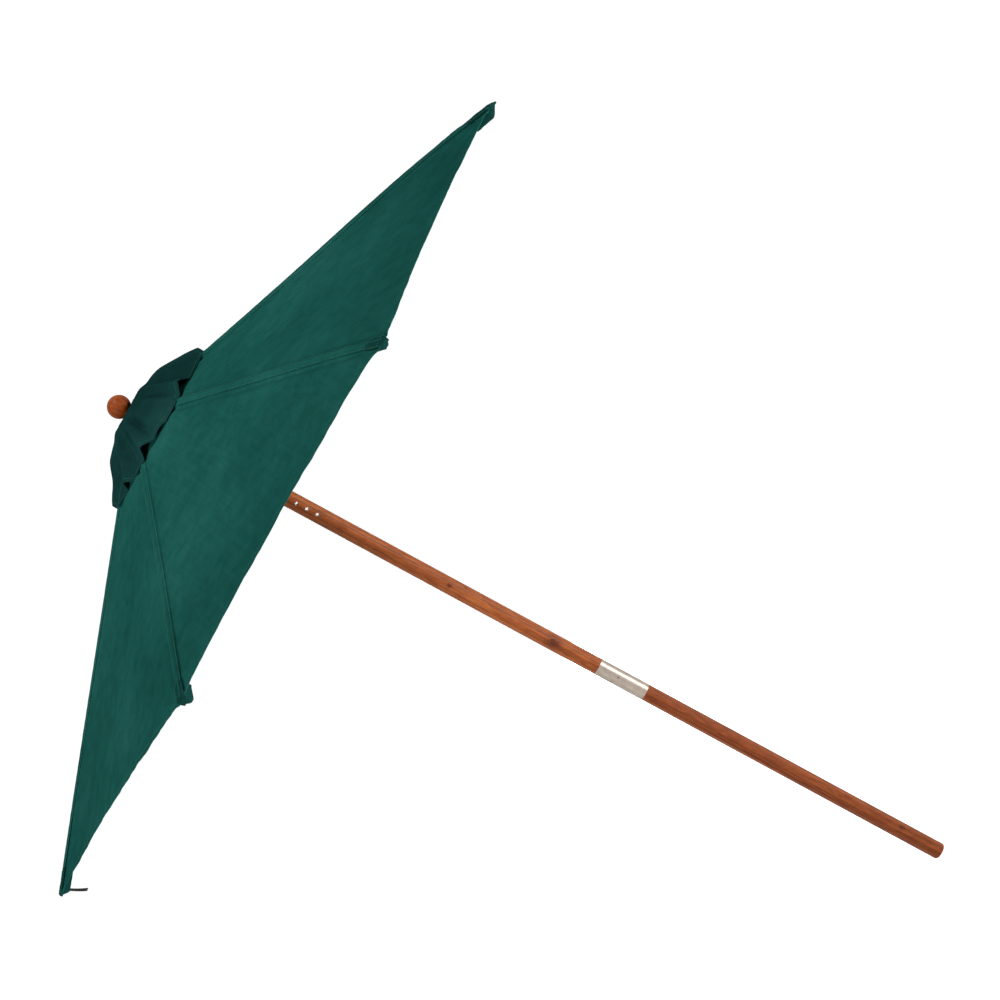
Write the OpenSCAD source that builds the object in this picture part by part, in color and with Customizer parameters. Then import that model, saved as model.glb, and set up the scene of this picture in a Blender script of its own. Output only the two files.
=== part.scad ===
// Beach umbrella with a two-piece wooden pole, eight folding ribs and a vented fabric canopy.
// Upright, open, +Z up. The origin is the centre of the pole's foot.

/* [Pole] */
// Diameter of both poles
pole_d = 38; // [36:1:40]
// Height of the joint between the two poles
joint_z = 779; // [700:1:820]
// Height of the ball finial's centre
ball_z = 2104; // [2080:1:2200]
// Rounding of the foot's edge
foot_round = 5; // [1:1:8]
// Diameter of the cross holes
hole_d = 7.2; // [6:0.2:9]
// Distance from one cross hole to the next
hole_pitch = 26; // [20:1:30]
// Number of cross holes
hole_count = 4; // [2:1:5]

/* [Ferrule] */
// Length of the ferrule
ferrule_len = 122; // [100:1:140]
// Thickness of the ferrule's wall
ferrule_wall = 1.1; // [0.8:0.1:1.5]
// Depth that the lower pole goes into the ferrule
spigot_len = 54; // [40:1:60]
// Radial clearance of the lower pole in the ferrule
spigot_gap = 0.08; // [0.02:0.01:0.1]

/* [Finial] */
// Diameter of the ball
ball_d = 53; // [45:1:60]
// Diameter of the threaded stud
stud_d = 8; // [6:1:10]
// Diameter of the disc under the vent cap
disc_d = 108; // [100:1:112]
// Thickness of the disc
disc_t = 9; // [6:1:10]

/* [Canopy] */
// Distance from the pole's axis to a corner of the canopy
canopy_r = 1000; // [900:10:1100]
// Height of the ball's centre over the canopy's corners
canopy_drop = 376; // [340:1:400]
// Height of the ball's centre over the point where the canopy's planes meet
apex_drop = 34; // [32:1:36]
// Distance from the axis to the canopy's vent edge, along a rib
vent_r = 120; // [115:1:130]
// Thickness of the fabric solids
fabric_t = 1.2; // [0.8:0.1:1.5]
// Distance from the axis to the vent cap's edge
cap_r = 203; // [190:1:215]
// Length of the closing strap
strap_len = 46; // [30:1:60]
// Width of the closing strap
strap_w = 15; // [10:1:20]

/* [Ribs and struts] */
// Width of a rib
rib_w = 12; // [10:0.5:13]
// Height of a rib near the crown
rib_h = 18; // [16:0.5:20]
// Height of a rib at its tip
rib_tip_h = 11; // [8:0.5:14]
// Distance from the axis to a rib's tip
rib_tip_r = 985; // [880:5:990]
// Distance along a rib from the crown pivot to its bracket
bracket_s = 400; // [380:1:405]
// Width of a strut
strut_w = 10; // [8:0.5:11]
// Height of a strut
strut_h = 14; // [12:0.5:15]
// Diameter of the pivot pins
pin_d = 4; // [3:0.1:4.5]
// Thickness of the bracket's sheet metal
bracket_t = 2; // [1.5:0.1:2]
// Length of the bracket's plate
bracket_len = 44; // [36:1:60]

/* [Crown and runner] */
// Distance from the axis to the pivots in the crown and in the runner
pivot_r = 38; // [37:0.5:40]
// Diameter of the crown
crown_d = 104; // [100:1:108]
// Height of the crown
crown_h = 34; // [30:1:36]
// Diameter of the runner's flange
runner_d = 92; // [90:1:100]
// Height of the runner's flange
flange_h = 20; // [18:1:24]
// Diameter of the runner's neck
neck_d = 57; // [50:1:58]
// Radial clearance of the runner on the pole
runner_gap = 0.4; // [0.3:0.1:0.6]

/* [Lock pin] */
// Diameter of the lock pin
lock_d = 7; // [5:0.1:7]
// Diameter of the pull ring, along its wire's centre
ring_d = 26; // [22:1:30]
// Diameter of the pull ring's wire
ring_wire_d = 2.4; // [1.5:0.1:3]

/* [Hidden] */
$fn = 48;

WOOD = "sienna";
DARK_WOOD = "saddlebrown";
METAL = "lightsteelblue";
GREEN = "darkgreen";

ribs = 8;
step = 360 / ribs;
half = step / 2;
pole_r = pole_d / 2;
side_gap = 0.3;                       // clearance beside a rib or strut in its slot
run_gap = 0.05;                       // radial clearance of a pivot pin
core_r = pivot_r - rib_h / 2 - 0.5;   // the crown's core, clear of the ribs' round ends

// the canopy's planes: they meet at the apex and pass through the corners
apex_z = ball_z - apex_drop;
rim_z = ball_z - canopy_drop;
slope = (apex_z - rim_z) / canopy_r;
rib_tilt = atan(slope);
panel_tilt = atan(slope / cos(half));

// a rib's centre line lies under the fabric, with a small gap
rib_gap = 1.5;
rib_drop = fabric_t + rib_gap + rib_h / 2;
crown_z = apex_z - slope * pivot_r - rib_drop / cos(rib_tilt);
rib_len = (rib_tip_r - pivot_r) / cos(rib_tilt);

// the strut hangs from the bracket, under the rib, and is as long as the pivots' distance
strut_drop = rib_h / 2 + bracket_t + strut_h / 2 + 0.5;
strut_len = norm([bracket_s, strut_drop]);
strut_tilt = rib_tilt + atan(strut_drop / bracket_s);
runner_z = crown_z - 2 * strut_len * sin(strut_tilt);

// the top of the pole, seen from the ball downwards
disc_top = ball_z - 21.8;
disc_z = disc_top - disc_t;
cap_gap = 0.3;
cap_top = disc_top + cap_gap + fabric_t;
ball_flat = cap_top + cap_gap;

// the ferrule is fixed on the upper pole, and the lower pole goes into it from below
ferrule_r = pole_r + 0.4;
ferrule_bore = ferrule_r - ferrule_wall;
ferrule_top = joint_z + ferrule_len;
rivet_z = ferrule_top - 50;

// fixings: the stud in the pole and the ball, the rivet in the ferrule, the screws in the crown
stud_depth = 40;
stud_in_ball = 14;
rivet_d = 4;
rivet_len = 9;
rivet_sunk = 0.3;
rivet_head_d = 7;
screw_d = 4;
screw_head_d = 9;
screw_grip = 10;
crown_pin_len = rib_w + 9;

// the grooves in the runner that the strut pins lie in, open below
groove_w = pin_d + 0.2;
groove_len = strut_w + 9;
runner_top = runner_z + flange_h / 2 + 8;

taper_s = bracket_s + 80;   // where a rib starts to taper
ring_y = 28;                // where the pull ring hangs on the lock pin
lock_over = 6;              // how far the lock pin comes out at the far side
strap_lean = 28;            // the strap's lean from upright, towards the pole
strap_t = 1.5;

// the top cross hole takes the lock pin, with the runner standing on it
hole_top = ball_z - 412;
neck_bottom = hole_top + lock_d / 2 + 1;

module at_rib(k) rotate([0, 0, half + step * (k - 1)]) children();
module at_panel(k) rotate([0, 0, step * (k - 1)]) children();
module in_rib(k) at_rib(k) translate([pivot_r, 0, crown_z]) rotate([0, rib_tilt, 0]) children();
module in_strut(k) at_rib(k) translate([pivot_r, 0, runner_z]) rotate([0, -strut_tilt, 0]) children();
module across(d, len) rotate([90, 0, 0]) cylinder(d = d, h = len, center = true);
module plate(w) rotate([90, 0, 0]) linear_extrude(height = w, center = true) children();

module cross_holes() {
    for (i = [0:hole_count - 1]) translate([0, 0, hole_top - i * hole_pitch]) across(hole_d, pole_d + 2);
}

module lower_pole() color(WOOD) {
    rotate_extrude() {
        translate([0, foot_round]) square([pole_r, joint_z - foot_round]);
        square([pole_r - foot_round, joint_z]);
        translate([pole_r - foot_round, foot_round]) circle(r = foot_round);
    }
    translate([0, 0, joint_z]) cylinder(r = ferrule_bore - spigot_gap, h = spigot_len);
}

module upper_pole() color(WOOD) difference() {
    union() {
        translate([0, 0, ferrule_top]) cylinder(r = pole_r, h = disc_z - ferrule_top);
        translate([0, 0, joint_z + spigot_len + 2])
            cylinder(r = ferrule_bore, h = ferrule_len - spigot_len - 2);
    }
    cross_holes();
    translate([0, 0, disc_z - stud_depth]) cylinder(d = stud_d, h = stud_depth + 1);
    rivet_place() cylinder(d = rivet_d, h = rivet_len);
    crown_screws();
}

module rivet_place() translate([0, -ferrule_r, rivet_z]) rotate([-90, 0, 0]) children();

module ferrule() color(METAL) difference() {
    translate([0, 0, joint_z]) cylinder(r = ferrule_r, h = ferrule_len);
    translate([0, 0, joint_z - 1]) cylinder(r = ferrule_bore, h = ferrule_len + 2);
    rivet_place() translate([0, 0, -2]) cylinder(d = rivet_d, h = rivet_len);
}

module ferrule_rivet() color(METAL) rivet_place() {
    translate([0, 0, rivet_sunk]) cylinder(d = rivet_d, h = rivet_len - rivet_sunk);
}

module ball_finial() color(WOOD) difference() {
    translate([0, 0, ball_z]) sphere(d = ball_d, $fn = 96);
    translate([0, 0, ball_flat - ball_d]) cylinder(r = ball_d, h = ball_d);
    translate([0, 0, ball_flat - 1]) cylinder(d = stud_d, h = stud_in_ball + 1);
}

module finial_stud() color(METAL)
    translate([0, 0, disc_z - stud_depth + 1])
        cylinder(d = stud_d, h = ball_flat - disc_z + stud_in_ball + stud_depth - 2);

module top_disc() color(WOOD) translate([0, 0, disc_z]) difference() {
    rotate_extrude() {
        square([(disc_d - disc_t) / 2, disc_t]);
        translate([(disc_d - disc_t) / 2, disc_t / 2]) circle(d = disc_t);
    }
    translate([0, 0, -1]) cylinder(d = stud_d, h = disc_t + 2);
}

module crown() color(WOOD) translate([0, 0, crown_z]) difference() {
    translate([0, 0, -crown_h / 2]) cylinder(d = crown_d, h = crown_h);
    cylinder(r = pole_r, h = crown_h + 2, center = true);
    for (k = [1:ribs]) at_rib(k) {
        translate([core_r, -rib_w / 2 - side_gap, -crown_h])
            cube([crown_d, rib_w + 2 * side_gap, 2 * crown_h]);
        translate([pivot_r, 0, 0]) across(pin_d, crown_pin_len);
    }
    for (a = [0, 180]) rotate([0, 0, a]) crown_screw();
}

module crown_screw() translate([crown_d / 2, 0, 0]) rotate([0, -90, 0]) {
    cylinder(d1 = screw_head_d, d2 = screw_d, h = screw_d);
    cylinder(d = screw_d, h = crown_d / 2 - pole_r + screw_grip);
}

module crown_screws() color(METAL) translate([0, 0, crown_z])
    for (a = [0, 180]) rotate([0, 0, a]) crown_screw();

module crown_pins() color(METAL) for (k = [1:ribs]) at_rib(k)
    translate([pivot_r, 0, crown_z]) across(pin_d, crown_pin_len);

// the cap's section, from its middle to its edge: a flat top, a short fall and a wide skirt
function cap_outline() = [[55, 0], [75, -11], [121, -23], [153, -38], [cap_r, -72]];

module vent_cap() color(GREEN) translate([0, 0, cap_top]) rotate_extrude() polygon(concat(
    [[stud_d / 2 + 0.5, 0]], cap_outline(),
    [for (i = [4:-1:0]) cap_outline()[i] - [0.3, fabric_t]], [[stud_d / 2 + 0.5, -fabric_t]]));

// each strut pin drops out of its groove as the canopy folds, and comes back when it is closed
module runner() color(WOOD) difference() {
    union() {
        translate([0, 0, runner_z - flange_h / 2]) cylinder(d = runner_d, h = flange_h);
        translate([0, 0, neck_bottom]) cylinder(d = neck_d, h = runner_top - neck_bottom);
        translate([0, 0, neck_bottom]) cylinder(d = neck_d + 3, h = 9);
    }
    translate([0, 0, neck_bottom - 1]) cylinder(r = pole_r + runner_gap, h = runner_top - neck_bottom + 2);
    for (k = [1:ribs]) at_rib(k) translate([0, 0, runner_z]) {
        translate([neck_d / 2, -strut_w / 2 - side_gap, -flange_h])
            cube([runner_d, strut_w + 2 * side_gap, 2 * flange_h]);
        translate([pivot_r, 0, 0]) {
            across(groove_w, groove_len);
            translate([-groove_w / 2, -groove_len / 2, -flange_h]) cube([groove_w, groove_len, flange_h]);
        }
    }
}

module lock_pin() color(METAL) translate([0, 0, hole_top]) rotate([90, 0, 0]) difference() {
    union() {
        translate([0, 0, -ring_y - 5]) cylinder(d = lock_d, h = ring_y + 5 + pole_r + lock_over);
        translate([0, 0, pole_r + lock_over]) cylinder(d1 = lock_d, d2 = lock_d - 3, h = 2);
        translate([0, 0, -pole_r - 4]) cylinder(d = lock_d + 1.4, h = 2.5);
    }
    translate([0, 0, -ring_y]) rotate([0, 90, 0])
        cylinder(d = ring_wire_d + 1, h = 3 * lock_d, center = true);
}

module lock_ring() color(METAL) translate([0, ring_y, hole_top - ring_d / 2]) rotate([90, 0, 0])
    rotate_extrude() translate([ring_d / 2, 0]) circle(d = ring_wire_d, $fn = 24);

module rib(k) color(DARK_WOOD) in_rib(k) difference() {
    union() {
        plate(rib_w) polygon([[0, rib_h / 2], [rib_len, rib_h / 2], [rib_len, rib_h / 2 - rib_tip_h],
                              [taper_s, -rib_h / 2], [0, -rib_h / 2]]);
        across(rib_h, rib_w);
    }
    across(pin_d + 2 * run_gap, rib_w + 2);
}

module rib_bracket(k) color(METAL) in_rib(k) translate([bracket_s, 0, -rib_h / 2]) {
    ear_y = strut_w / 2 + side_gap;
    plate_w = 2 * (ear_y + bracket_t);
    translate([-bracket_len / 2, -plate_w / 2, -bracket_t]) cube([bracket_len, plate_w, bracket_t]);
    for (side = [-1, 1]) translate([0, side * (ear_y + bracket_t / 2), 0]) difference() {
        union() {
            plate(bracket_t) translate([-8, -strut_drop + rib_h / 2])
                square([16, strut_drop - rib_h / 2 - bracket_t]);
            translate([0, 0, -strut_drop + rib_h / 2]) across(16, bracket_t);
        }
        translate([0, 0, -strut_drop + rib_h / 2]) across(pin_d + 2 * run_gap, bracket_t + 2);
    }
}

module strut(k) color(DARK_WOOD) in_strut(k) difference() {
    union() {
        plate(strut_w) translate([0, -strut_h / 2]) square([strut_len, strut_h]);
        for (x = [0, strut_len]) translate([x, 0, 0]) across(strut_h, strut_w);
    }
    for (x = [0, strut_len]) translate([x, 0, 0]) across(pin_d, strut_w + 2);
}

module strut_pins(k) color(METAL) in_strut(k) {
    across(pin_d, groove_len - 1);
    translate([strut_len, 0, 0]) {
        across(pin_d, strut_w + 2 * bracket_t + 2);
        for (side = [-1, 1]) translate([0, side * (strut_w / 2 + bracket_t + 1.3), 0])
            across(rivet_head_d, 1.4);
    }
}

module canopy_panel(k) color(GREEN) at_panel(k) translate([0, 0, apex_z]) rotate([0, panel_tilt, 0]) {
    in_u = vent_r * cos(half) / cos(panel_tilt);
    out_u = canopy_r * cos(half) / cos(panel_tilt);
    in_v = vent_r * sin(half) - 0.5;
    out_v = canopy_r * sin(half) - 0.5;
    translate([0, 0, -fabric_t]) linear_extrude(height = fabric_t)
        polygon([[in_u, -in_v], [out_u, -out_v], [out_u, out_v], [in_u, in_v]]);
}

// the strap hangs from the fifth corner, inwards and down
module tie_strap() color("black") at_rib(5) translate([canopy_r - 6, 0, rim_z - 1])
    rotate([0, 90 + strap_lean, 0]) translate([0, -strap_w / 2, -strap_t / 2])
        cube([strap_len, strap_w, strap_t]);

lower_pole();
upper_pole();
ferrule();
ferrule_rivet();
ball_finial();
finial_stud();
top_disc();
crown();
crown_pins();
crown_screws();
vent_cap();
runner();
lock_pin();
lock_ring();
tie_strap();
for (k = [1:ribs]) {
    rib(k);
    rib_bracket(k);
    strut(k);
    strut_pins(k);
    canopy_panel(k);
}
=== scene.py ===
"""Looks of a wooden beach umbrella: its cloth, wood and metal, the studio and the camera.

Every length is in metres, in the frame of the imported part: +Z up along the pole, with the origin at the
centre of the pole's foot. Gore k has its middle line at 45 (k - 1) degrees, and rib k lies half a step on.
"""

import logging
import math
import random
from dataclasses import dataclass, field
from enum import Enum
from typing import Callable, Optional, Sequence

import bpy
from mathutils import Matrix, Vector, noise


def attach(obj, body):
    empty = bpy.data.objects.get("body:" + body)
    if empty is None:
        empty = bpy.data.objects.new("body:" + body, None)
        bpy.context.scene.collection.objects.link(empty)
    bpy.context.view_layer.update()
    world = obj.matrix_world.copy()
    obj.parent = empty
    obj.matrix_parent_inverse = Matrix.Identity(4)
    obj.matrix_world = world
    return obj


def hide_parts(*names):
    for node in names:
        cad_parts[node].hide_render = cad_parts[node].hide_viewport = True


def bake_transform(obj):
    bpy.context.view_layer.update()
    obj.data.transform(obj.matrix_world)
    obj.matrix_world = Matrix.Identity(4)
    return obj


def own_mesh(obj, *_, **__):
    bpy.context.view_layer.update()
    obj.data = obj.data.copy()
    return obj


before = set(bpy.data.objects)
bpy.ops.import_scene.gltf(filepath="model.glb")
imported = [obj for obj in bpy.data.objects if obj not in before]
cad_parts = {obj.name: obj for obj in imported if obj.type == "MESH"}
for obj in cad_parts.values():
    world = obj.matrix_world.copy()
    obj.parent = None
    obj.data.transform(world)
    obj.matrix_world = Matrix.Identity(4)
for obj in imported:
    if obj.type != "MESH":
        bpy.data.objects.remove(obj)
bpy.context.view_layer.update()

LOG = logging.getLogger("umbrella")
Colour = tuple[float, float, float]
Point = tuple[float, float, float]
FOLD_JOINT = "canopy_fold"


def smooth(value: float, low: float, high: float) -> float:
    """Rises smoothly from 0 to 1.

    Args:
        value: where to read the step.
        low: the value at which it starts to rise.
        high: the value at which it reaches 1.

    Returns:
        A share from 0 to 1.
    """
    t = min(1.0, max(0.0, (value - low) / (high - low)))
    return t * t * (3.0 - 2.0 * t)


def bell(value: float, centre: float, left: float, right: float) -> float:
    """A bump of height 1 whose two flanks differ.

    Args:
        value: where to read the bump.
        centre: where it is highest.
        left: width of the flank below the centre.
        right: width of the flank above the centre.

    Returns:
        A share from 0 to 1.
    """
    away = (value - centre) / (left if value < centre else right)
    return math.exp(-away * away)


def ripple(x: float, y: float, seed: float) -> float:
    """Smooth noise from about -1 to 1 at a place on the cloth, the same in each run."""
    return noise.noise(Vector((x, y, seed)))


# ---------------------------------------------------------------- meshes


def new_object(name: str, mesh: bpy.types.Mesh) -> bpy.types.Object:
    """Puts a mesh into the scene.

    Args:
        name: the piece's name.
        mesh: its mesh, in the row's frame.

    Returns:
        The new object, at the origin.
    """
    piece = bpy.data.objects.new(name, mesh)
    bpy.context.scene.collection.objects.link(piece)
    return piece


def grid_mesh(
    name: str,
    rows: Sequence[Sequence[Vector]],
    uv: Callable[[int, int], tuple[float, float]],
    loop: bool = False,
) -> bpy.types.Mesh:
    """Makes a smooth quad mesh from rows of points.

    Args:
        name: name of the mesh.
        rows: rows of points, all of one length.
        uv: gives the place on the flat cloth, in metres, of row i and column j.
        loop: True if each row closes on itself.

    Returns:
        The mesh, with the UV map "cloth".
    """
    count = len(rows[0])
    points = [tuple(p) for row in rows for p in row]
    faces, corners = [], []
    for i in range(len(rows) - 1):
        for j in range(count if loop else count - 1):
            k = (j + 1) % count
            faces.append((i * count + j, (i + 1) * count + j, (i + 1) * count + k, i * count + k))
            corners += [uv(i, j), uv(i + 1, j), uv(i + 1, j + 1), uv(i, j + 1)]
    mesh = bpy.data.meshes.new(name)
    mesh.from_pydata(points, [], faces)
    layer = mesh.uv_layers.new(name="cloth")
    layer.data.foreach_set("uv", [c for pair in corners for c in pair])
    mesh.polygons.foreach_set("use_smooth", [True] * len(faces))
    mesh.update()
    return mesh


def close_ends(mesh: bpy.types.Mesh, count: int, rows: int) -> None:
    """Closes a lofted tube with a face at each end.

    Args:
        mesh: a tube made by grid_mesh with loop=True.
        count: points in a row.
        rows: number of rows.
    """
    points = [v.co.copy() for v in mesh.vertices]
    faces = [tuple(p.vertices) for p in mesh.polygons]
    uvs = [tuple(u.uv) for u in mesh.uv_layers["cloth"].data]
    last = (rows - 1) * count
    faces += [tuple(range(count)), tuple(last + j for j in reversed(range(count)))]
    mesh.clear_geometry()
    mesh.from_pydata(points, [], faces)
    layer = mesh.uv_layers.get("cloth") or mesh.uv_layers.new(name="cloth")
    uvs += [(0.0, 0.0)] * (2 * count)
    layer.data.foreach_set("uv", [c for pair in uvs for c in pair])
    mesh.polygons.foreach_set("use_smooth", [True] * (len(faces) - 2) + [False, False])
    mesh.update()


def settle(piece: bpy.types.Object) -> None:
    """Turns a piece's modifiers into its plain mesh.

    Args:
        piece: an object with modifiers.
    """
    bpy.context.view_layer.update()
    graph = bpy.context.evaluated_depsgraph_get()
    mesh = bpy.data.meshes.new_from_object(
        piece.evaluated_get(graph), preserve_all_data_layers=True, depsgraph=graph
    )
    old = piece.data
    piece.modifiers.clear()
    piece.data = mesh
    mesh.name = piece.name
    bpy.data.meshes.remove(old)


def thicken(piece: bpy.types.Object, thickness: float) -> None:
    """Gives a sheet its thickness, below its surface.

    Args:
        piece: the sheet.
        thickness: the cloth's thickness.
    """
    wall = piece.modifiers.new("thickness", "SOLIDIFY")
    wall.thickness = thickness
    wall.offset = -1.0
    wall.use_even_offset = False
    settle(piece)


def outline(points: Sequence[Optional[Vector]], name: str) -> bpy.types.Object:
    """Makes a host mesh of one or more open chains for a Geometry Nodes tree.

    Args:
        points: the chain's points; None between two points starts a new chain.
        name: the object's name.

    Returns:
        The object, with edges and no faces.
    """
    chain, edges = [], []
    previous = None
    for p in points:
        if p is None:
            previous = None
            continue
        chain.append(tuple(p))
        if previous is not None:
            edges.append((previous, len(chain) - 1))
        previous = len(chain) - 1
    mesh = bpy.data.meshes.new(name)
    mesh.from_pydata(chain, edges, [])
    return new_object(name, mesh)


# ---------------------------------------------------------------- finishes


class Bench:
    """Adds and joins the nodes of one material."""

    def __init__(self, name: str) -> None:
        """Starts a material with a Principled shader."""
        self.material = bpy.data.materials.new(name)
        self.material.use_nodes = True
        self.tree = self.material.node_tree
        self.shader = next(n for n in self.tree.nodes if n.type == "BSDF_PRINCIPLED")

    def add(self, kind: str, **sockets: object) -> bpy.types.Node:
        """Adds a node.

        Args:
            kind: the node's type, without the word ShaderNode.
            **sockets: what each input holds or is joined to; spaces in a name are written as _.

        Returns:
            The node.
        """
        node = self.tree.nodes.new("ShaderNode" + kind)
        for name, value in sockets.items():
            self.put(node.inputs[name.replace("_", " ")], value)
        return node

    def put(self, socket: bpy.types.NodeSocket, value: object) -> None:
        """Sets an input, or joins an output to it.

        Args:
            socket: the input.
            value: a number, a tuple or another node's output.
        """
        if isinstance(value, bpy.types.NodeSocket):
            self.tree.links.new(value, socket)
        else:
            socket.default_value = value

    def shade(self, **sockets: object) -> None:
        """Sets or joins inputs of the Principled shader; spaces in a name are written as _."""
        for name, value in sockets.items():
            self.put(self.shader.inputs[name.replace("_", " ")], value)

    def place(self, source: str) -> bpy.types.NodeSocket:
        """Gives the piece's own coordinates, Object or UV."""
        return self.add("TexCoord").outputs[source]

    def stretch(self, vector: bpy.types.NodeSocket, scale: Point) -> bpy.types.NodeSocket:
        """Scales coordinates along the three axes."""
        return self.add("Mapping", Vector=vector, Scale=scale).outputs["Vector"]

    def cloud(
        self, vector: bpy.types.NodeSocket, scale: float, detail: float = 3.0, twist: float = 0.0
    ) -> bpy.types.NodeSocket:
        """Adds a noise and gives its value, from 0 to 1.

        Args:
            vector: the coordinates it reads.
            scale: features in a metre of those coordinates.
            detail: how many finer layers it has.
            twist: how far it is distorted.

        Returns:
            The noise's value.
        """
        return self.add(
            "TexNoise", Vector=vector, Scale=scale, Detail=detail, Distortion=twist
        ).outputs["Fac"]

    def ramp(
        self, value: bpy.types.NodeSocket, stops: Sequence[tuple[float, Colour]]
    ) -> bpy.types.NodeSocket:
        """Turns a value into a colour.

        Args:
            value: the value.
            stops: place and colour of each stop.

        Returns:
            The colour.
        """
        node = self.add("ValToRGB", Fac=value)
        while len(node.color_ramp.elements) < len(stops):
            node.color_ramp.elements.new(0.5)
        for element, (place, colour) in zip(node.color_ramp.elements, stops):
            element.position = place
            element.color = (*colour, 1.0)
        return node.outputs["Color"]

    def maths(self, operation: str, a: object, b: object = 0.0) -> bpy.types.NodeSocket:
        """Adds a Math node on one or two values."""
        node = self.tree.nodes.new("ShaderNodeMath")
        node.operation = operation
        self.put(node.inputs[0], a)
        self.put(node.inputs[1], b)
        return node.outputs[0]

    def mix(
        self, share: object, a: object, b: object, how: str = "MIX"
    ) -> bpy.types.NodeSocket:
        """Mixes two colours.

        Args:
            share: how much of b.
            a: the first colour.
            b: the second colour.
            how: the blend type.

        Returns:
            The mixed colour.
        """
        node = self.tree.nodes.new("ShaderNodeMix")
        node.data_type = "RGBA"
        node.blend_type = how
        self.put(node.inputs[0], share)
        for socket, value in ((node.inputs[6], a), (node.inputs[7], b)):
            self.put(socket, (*value, 1.0) if isinstance(value, tuple) else value)
        return node.outputs[2]

    def relief(self, height: bpy.types.NodeSocket, strength: float, depth: float) -> None:
        """Adds a bump to the shader, on top of any that it has.

        Args:
            height: the height, from 0 to 1.
            strength: share of the bump that shows.
            depth: the height's real size, in metres.
        """
        node = self.add("Bump", Strength=strength, Distance=depth, Height=height)
        normal = self.shader.inputs["Normal"]
        if normal.is_linked:
            self.tree.links.new(normal.links[0].from_socket, node.inputs["Normal"])
        self.put(normal, node.outputs["Normal"])


class Grain(Enum):
    """Which way the wood's fibres run."""

    UPRIGHT = "along the pole"
    RIB = "outwards and down, along the ribs"
    STRUT = "outwards and up, along the struts"


@dataclass(frozen=True)
class Wood:
    """Oiled hardwood with long fibres, a wavy figure and pores."""

    name: str
    grain: Grain
    dark: Colour = (0.120, 0.029, 0.007)
    middle: Colour = (0.250, 0.063, 0.016)
    light: Colour = (0.390, 0.120, 0.036)
    heart: Colour = (0.060, 0.014, 0.008)
    fibre: float = 105.0
    figure: float = 0.55
    roughness: float = 0.48
    oil: float = 0.03
    tilt: float = 18.9
    knots: tuple[tuple[Point, float], ...] = ()
    knot_scale: Point = (40.0, 30.0, 30.0)

    def along(self, bench: Bench) -> bpy.types.NodeSocket:
        """Gives coordinates whose third axis runs along the fibres."""
        place = bench.place("Object")
        if self.grain is Grain.UPRIGHT:
            return place
        parts = bench.add("SeparateXYZ", Vector=place).outputs
        out = bench.maths("SQRT", bench.maths("ADD", bench.maths("POWER", parts[0], 2.0),
                                              bench.maths("POWER", parts[1], 2.0)))
        turn = bench.maths("MULTIPLY", bench.maths("ARCTAN2", parts[1], parts[0]), out)
        lean = math.radians(self.tilt if self.grain is Grain.RIB else -self.tilt)
        fibre = bench.maths("SUBTRACT", bench.maths("MULTIPLY", out, math.cos(lean)),
                            bench.maths("MULTIPLY", parts[2], math.sin(lean)))
        across = bench.maths("ADD", bench.maths("MULTIPLY", out, math.sin(lean)),
                             bench.maths("MULTIPLY", parts[2], math.cos(lean)))
        joined = bench.tree.nodes.new("ShaderNodeCombineXYZ")
        for socket, value in zip(joined.inputs, (turn, across, fibre)):
            bench.put(socket, value)
        return joined.outputs[0]

    def build(self) -> bpy.types.Material:
        """Makes the material."""
        bench = Bench(self.name)
        place = self.along(bench)
        long = bench.cloud(bench.stretch(place, (self.fibre, self.fibre, 1.1)), 1.0, 6.0, 0.9)
        wavy = bench.cloud(bench.stretch(place, (150.0, 150.0, 30.0)), 1.0, 3.0, 0.8)
        pores = bench.cloud(bench.stretch(place, (900.0, 900.0, 22.0)), 1.0, 2.0)
        stops = ((0.28, self.dark), (0.46, self.middle), (0.56, self.middle), (0.76, self.light))
        colour = bench.ramp(long, stops)
        figure = bench.ramp(wavy, ((0.38, (0.60, 0.54, 0.50)), (0.60, (1.16, 1.18, 1.2))))
        colour = bench.mix(self.figure, colour, figure, "MULTIPLY")
        colour = bench.mix(
            bench.maths("MULTIPLY", bench.ramp(pores, ((0.60, (0, 0, 0)), (0.72, (1, 1, 1)))), 0.45),
            colour, self.dark)
        for spot, size in self.knots:
            colour = self.knot(bench, place, spot, size, colour)
        bench.shade(Base_Color=colour, Roughness=self.roughness, Coat_Weight=self.oil,
                    Coat_Roughness=0.18, Specular_IOR_Level=0.08)
        bench.relief(long, 0.35, 0.0004)
        bench.relief(pores, 0.25, 0.0001)
        return bench.material

    def knot(
        self, bench: Bench, place: bpy.types.NodeSocket, spot: Point, size: float,
        colour: bpy.types.NodeSocket,
    ) -> bpy.types.NodeSocket:
        """Darkens the wood around a small knot.

        Args:
            bench: the material's nodes.
            place: coordinates on the wood.
            spot: the knot's centre.
            size: its size; 1 is about 22 mm across.
            colour: the wood's colour so far.

        Returns:
            The colour with the knot.
        """
        scale = tuple(s / size for s in self.knot_scale)
        node = bench.add("Mapping", Vector=place, Scale=scale)
        node.inputs["Location"].default_value = tuple(-s * c for s, c in zip(scale, spot))
        away = bench.tree.nodes.new("ShaderNodeVectorMath")
        away.operation = "LENGTH"
        bench.put(away.inputs[0], node.outputs["Vector"])
        rough = bench.maths("ADD", away.outputs["Value"],
                            bench.maths("MULTIPLY", bench.cloud(place, 260.0, 2.0), 0.7))
        shade = bench.ramp(rough, ((0.50, (1, 1, 1)), (0.70, (0.5, 0.5, 0.5)), (1.0, (0, 0, 0))))
        return bench.mix(bench.maths("MULTIPLY", shade, 0.85), colour, self.heart)


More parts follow.
